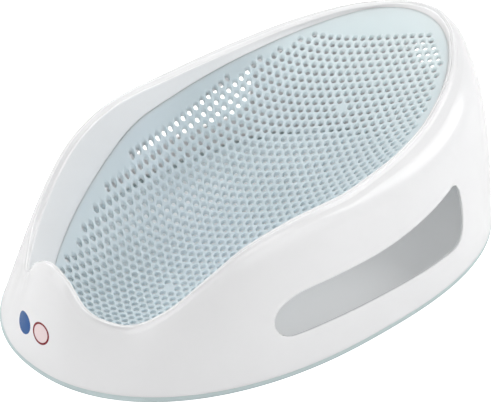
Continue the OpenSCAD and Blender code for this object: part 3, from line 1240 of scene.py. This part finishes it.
@dataclass
class Studio:
    """Floor, world, lamps and the camera at the photo's viewing angle."""

    form: BathForm
    azimuth: float = -44.06
    elevation: float = 34.25
    roll: float = 1.98
    distance: float = 2766.84
    shift_x: float = 3.03
    shift_y: float = 6.35
    target_height: float = 80.0
    lens: float = 194.94
    sensor: float = 36.0
    world_level: float = 0.2
    # ring of light overhead, for reflections: the sine of its height, half its width and its strength
    ring_light: tuple[float, float, float] = (0.95, 0.03, 4.0)
    floor_half: float = 6.0
    floor_drop: float = 0.2
    floor_white: float = 0.9
    # light that the floor sends out: beside the support; under its near and its far side, a painted glow
    # that only the camera sees, standing in for light that falls there; and what goes on to other faces from
    # under it. The painted glow and this bounce change from far to near between two places across, have a
    # blue tint on the far side, and end just inside the outline of the base.
    floor_glow: float = 0.8
    # painted glow under the support, seen only by the camera, brighter and bluer under the far side
    painted_glow_near: float = 0.19
    painted_glow_far: float = 0.28
    hollow_bounce: float = 0.06
    hollow_sides: tuple[float, float] = (20.0, -70.0)
    painted_glow_tint: str = "#B9D6E2"
    base_share: float = 0.995
    lamps: tuple[Lamp, ...] = (
        Lamp("head_near", (1.7, -1.3, 1.3), 1.6, 27),
        Lamp("near_low", (0.2, -2.2, 0.9), 1.6, 12),
        Lamp("foot_low", (-2.2, -0.3, 0.9), 1.6, 13),
        Lamp("top", (0.0, 0.0, 2.5), 1.4, 6.5),
        Lamp("far_head", (1.5, 1.5, 1.6), 1.6, 21.5),
        Lamp("far_foot", (-1.5, 1.5, 1.6), 1.6, 26.5),
    )

    def axes(self) -> Matrix:
        """Work out the camera's axes in the world.

        Returns:
            The rows right, up and back.
        """
        a, e, r = (math.radians(v) for v in (self.azimuth, self.elevation, self.roll))
        right = Vector((math.cos(a), math.sin(a), 0))
        back = Vector((math.sin(a) * math.cos(e), -math.cos(a) * math.cos(e), math.sin(e)))
        up = back.cross(right)
        rolled_right = math.cos(r) * right + math.sin(r) * up
        rolled_up = math.cos(r) * up - math.sin(r) * right
        return Matrix((rolled_right, rolled_up, back))

    def camera(self) -> None:
        """Place the camera."""
        rows = self.axes()
        offset = Vector((-self.shift_x, -self.shift_y, self.distance))
        data = bpy.data.cameras.new("photo_camera")
        data.lens = self.lens
        data.sensor_width = self.sensor
        data.clip_start, data.clip_end = 0.05, 50
        cam = bpy.data.objects.new("photo_camera", data)
        spot = (Vector((0, 0, self.target_height)) + rows.transposed() @ offset) * MM
        cam.matrix_world = Matrix.Translation(spot) @ rows.transposed().to_4x4()
        bpy.context.scene.collection.objects.link(cam)
        bpy.context.scene.camera = cam

    def world(self) -> None:
        """Even studio light, with a white background for what the camera and reflections see."""
        world = bpy.data.worlds.new("studio")
        bpy.context.scene.world = world
        world.use_nodes = True
        tree = world.node_tree
        tree.nodes.clear()
        out = node(tree, "ShaderNodeOutputWorld")
        path = node(tree, "ShaderNodeLightPath")
        seen = path.outputs["Is Camera Ray"]
        for ray in ("Is Glossy Ray", "Is Transmission Ray"):
            both = {0: seen, 1: path.outputs[ray]}
            seen = node(tree, "ShaderNodeMath", {"operation": "MAXIMUM"}, links=both).outputs[0]
        way = node(tree, "ShaderNodeTexCoord").outputs["Generated"]
        rise = node(tree, "ShaderNodeSeparateXYZ", links={"Vector": way}).outputs["Z"]
        height, reach, strength = self.ring_light
        ring = node(tree, "ShaderNodeMath", {"operation": "COMPARE"}, {1: height, 2: reach}, {0: rise})
        level = node(
            tree,
            "ShaderNodeMath",
            {"operation": "MULTIPLY_ADD"},
            {1: strength - 1, 2: 1.0},
            {0: ring.outputs[0]},
        )
        light = node(tree, "ShaderNodeBackground", values={"Color": WHITE, "Strength": self.world_level})
        white = node(
            tree, "ShaderNodeBackground", values={"Color": WHITE}, links={"Strength": level.outputs[0]}
        )
        mixed = node(tree, "ShaderNodeMixShader", links={0: seen, 1: light.outputs[0], 2: white.outputs[0]})
        tree.links.new(mixed.outputs[0], out.inputs["Surface"])

    def beside(self, tree: bpy.types.NodeTree, parts: bpy.types.Node) -> bpy.types.NodeSocket:
        """Tell the floor under the support from the floor beside it, after the outline of its base.

        Args:
            tree: The floor's nodes.
            parts: Node that splits the object coordinates.

        Returns:
            A mask that is 0 under the support and 1 beside it.
        """
        form = self.form
        over = {"operation": "GREATER_THAN"}
        at_head = node(tree, "ShaderNodeMath", over, {1: 0.0}, {0: parts.outputs["X"]})
        fullness = node(
            tree,
            "ShaderNodeMath",
            {"operation": "MULTIPLY_ADD"},
            {1: form.head_fullness - form.foot_fullness, 2: form.foot_fullness},
            {0: at_head.outputs[0]},
        )
        powers = []
        for axis, half in (("X", form.half_length), ("Y", form.half_width)):
            place = {0: parts.outputs[axis]}
            share = node(tree, "ShaderNodeMath", {"operation": "DIVIDE"}, {1: half * MM}, place)
            size = node(tree, "ShaderNodeMath", {"operation": "ABSOLUTE"}, links={0: share.outputs[0]})
            power = {0: size.outputs[0], 1: fullness.outputs[0]}
            powers.append(node(tree, "ShaderNodeMath", {"operation": "POWER"}, links=power).outputs[0])
        both = node(tree, "ShaderNodeMath", {"operation": "ADD"}, links={0: powers[0], 1: powers[1]})
        out = node(tree, "ShaderNodeMath", over, {1: self.base_share}, {0: both.outputs[0]})
        return out.outputs[0]

    def glow(self, tree: bpy.types.NodeTree) -> bpy.types.NodeSocket:
        """Let the floor show white beside the support and, under it, a dim painted glow that only the camera
        sees, tinted blue on the far side.

        Args:
            tree: The floor's nodes.

        Returns:
            The light that the floor sends out.
        """
        spot = node(tree, "ShaderNodeTexCoord").outputs["Object"]
        parts = node(tree, "ShaderNodeSeparateXYZ", links={"Vector": spot})
        beside = self.beside(tree, parts)
        ends = {"From Min": self.hollow_sides[0] * MM, "From Max": self.hollow_sides[1] * MM}
        smooth = {"interpolation_type": "SMOOTHSTEP"}
        across = {"Value": parts.outputs["Y"]}
        near = node(tree, "ShaderNodeMapRange", smooth, ends, across).outputs["Result"]
        # painted glow under the support: blue tint on the far side, white on the near side
        colour = node(tree, "ShaderNodeMix", {"data_type": "RGBA"}, links={"Factor": near})
        colour.inputs["A"].default_value = linear(self.painted_glow_tint)
        colour.inputs["B"].default_value = WHITE
        # strength of the painted glow under the far and the near side, for the camera only
        sides = {"A": self.painted_glow_far, "B": self.painted_glow_near}
        under = node(tree, "ShaderNodeMix", values=sides, links={"Factor": near})
        seen = node(
            tree,
            "ShaderNodeMix",
            values={"B": self.floor_glow},
            links={"Factor": beside, "A": under.outputs["Result"]},
        )
        passed = {"A": self.hollow_bounce, "B": 0.0}
        bounced = node(tree, "ShaderNodeMix", values=passed, links={"Factor": beside})
        level = node(
            tree,
            "ShaderNodeMix",
            links={
                "Factor": node(tree, "ShaderNodeLightPath").outputs["Is Camera Ray"],
                "A": bounced.outputs["Result"],
                "B": seen.outputs["Result"],
            },
        )
        shade = node(
            tree,
            "ShaderNodeMix",
            {"data_type": "RGBA"},
            links={"Factor": beside, "A": colour.outputs["Result"]},
        )
        shade.inputs["B"].default_value = WHITE
        glow = node(
            tree,
            "ShaderNodeEmission",
            links={"Color": shade.outputs["Result"], "Strength": level.outputs["Result"]},
        )
        return glow.outputs[0]

    def floor(self) -> None:
        """Plain white floor that keeps the support's shadow."""
        bm = bmesh.new()
        bmesh.ops.create_grid(bm, x_segments=2, y_segments=2, size=self.floor_half)
        bmesh.ops.translate(bm, vec=Vector((0, 0, -self.floor_drop * MM)), verts=bm.verts[:])
        floor = finish_mesh("studio_floor", bm)
        material, tree = new_material("floor_white_paper")
        out = node(tree, "ShaderNodeOutputMaterial")
        grey = (self.floor_white, self.floor_white, self.floor_white, 1)
        paper = node(tree, "ShaderNodeBsdfDiffuse", values={"Color": grey})
        both = node(tree, "ShaderNodeAddShader", links={0: paper.outputs[0], 1: self.glow(tree)})
        tree.links.new(both.outputs[0], out.inputs["Surface"])
        material.cycles.emission_sampling = "NONE"
        floor.data.materials.append(material)

    def build(self) -> None:
        """Set the studio up."""
        bpy.context.scene.view_settings.view_transform = "Standard"
        self.camera()
        self.world()
        self.floor()
        for lamp in self.lamps:
            lamp.hang()


def side_window(name: str, side: int) -> WallWindow:
    """Draw a long side window: round at the foot end, pointed at its upper head corner.

    Args:
        name: Name of the window.
        side: -1 for the near side and 1 for the far side.

    Returns:
        The window.
    """
    points = (
        (-92, 42.6),
        (-40, 43.2),
        (40, 42),
        (110, 41),
        (134, 41.4),
        (145, 46),
        (150.4, 57),
        (152, 71),
        (151, 87),
        (148, 102),
        (143.5, 110.5),
        (137, 113.2),
        (128, 110.6),
        (100, 103.4),
        (60, 95.4),
        (20, 90.8),
        (-40, 89.2),
        (-80, 87),
        (-99, 81.5),
        (-111, 73),
        (-115.5, 61.5),
        (-111.5, 50),
        (-103, 44.4),
    )
    columns = (-136.0, -37.0) if side < 0 else (37.0, 136.0)
    return WallWindow(
        name, Edge.ALONG_LENGTH, side, columns, rows=(0.16, 0.82), corners=(0, 4, 11, 17), points=points
    )


def head_slot() -> WallWindow:
    """Draw the rounded slot behind the head, for hanging the support up.

    Returns:
        The slot.
    """
    z, half, r, flat = 132.0, 38.0, 15.0, 8.0
    c = math.cos(math.pi / 4) * r
    points = (
        (-half + r, z - r),
        (-flat, z - r),
        (flat, z - r),
        (half - r, z - r),
        (half - r + c, z - c),
        (half, z),
        (half - r + c, z + c),
        (half - r, z + r),
        (flat, z + r),
        (-flat, z + r),
        (-half + r, z + r),
        (-half + r - c, z + c),
        (-half, z),
        (-half + r - c, z - c),
    )
    columns, rows = (-14.0, 14.0), (0.42, 0.86)
    return WallWindow("hanging_slot", Edge.ACROSS_WIDTH, 1, columns, rows, (0, 3, 7, 10), points)


def dress(piece: bpy.types.Object, material: bpy.types.Material, replaced: str) -> None:
    """Give a piece its finish and let it stand for its CAD node.

    Args:
        piece: The detailed piece.
        material: Its finish.
        replaced: The CAD node it stands for, which is hidden.
    """
    piece.data.materials.append(material)
    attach(piece, "root")
    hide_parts(replaced)
    LOG.info("%s: %d faces", piece.name, len(piece.data.polygons))


def corners(box: Sequence[Vector]) -> list[list[float]]:
    """Lowest and highest corner as plain lists."""
    return [[round(float(c), 6) for c in corner] for corner in box]


def main() -> None:
    """Build and dress every piece, and set the studio up."""
    logging.basicConfig(level=logging.INFO, format="%(name)s %(message)s")
    LOG.info("frame has the nodes %s", sorted(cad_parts))
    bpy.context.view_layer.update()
    form = BathForm()
    # Polypropylene moulded in a polished tool: white and glossy, with a faint ripple.
    shell_finish = Finish(
        "moulded_polypropylene_white",
        "#F4F4F5",
        "#EFEFF0",
        roughness=0.16,
        ior=1.49,
        grain_mm=9.0,
        grain_depth_mm=0.01,
        haze=0.5,
        haze_mm=5.0,
        marks=(
            PrintedMark(23, 41, 11.5, 0, "#0E5496"),
            PrintedMark(-4.5, 44, 11.8, 0, "#F3DCDD"),
            PrintedMark(-4.5, 44, 11.8, 9.6, "#821322"),
        ),
    )
    # Moulded thermoplastic elastomer: pale blue-grey, satin and hazy, with a fine matt grain. Its tones
    # along the length are its blue-grey tint with painted light and shade: palest at the head, greyest in
    # the middle.
    seat_finish = Finish(
        "moulded_elastomer_blue_grey",
        "#FFFFFF",
        "#FAFBFB",
        roughness=0.42,
        ior=1.5,
        grain_mm=0.9,
        grain_depth_mm=0.015,
        haze=1.0,
        haze_mm=4.0,
        # blue-grey tint with painted light and shade: palest at the head, greyest in the middle
        tones_with_painted_light=(
            (-110, "#D7E2E7"),
            (-45, "#D2DDE3"),
            (25, "#CCD8DD"),
            (95, "#D1DDE2"),
            (160, "#DCE9ED"),
            (215, "#E5F2F5"),
        ),
    )
    # The same elastomer in the base strip, a little greyer.
    strip_finish = Finish(
        "moulded_elastomer_strip",
        "#C6D4D5",
        "#BECDCE",
        roughness=0.5,
        ior=1.5,
        grain_mm=0.9,
        grain_depth_mm=0.015,
    )
    windows = (side_window("near_window", -1), side_window("far_window", 1), head_slot())
    dress(ShellMoulding(form, windows).build(), shell_finish.build(), "shell")
    dress(SoftSeat(form).build(), seat_finish.build(), "soft_seat")
    dress(GripStrip(form).build(), strip_finish.build(), "grip_strip")
    Studio(form).build()


if __name__ == "__main__":
    main()
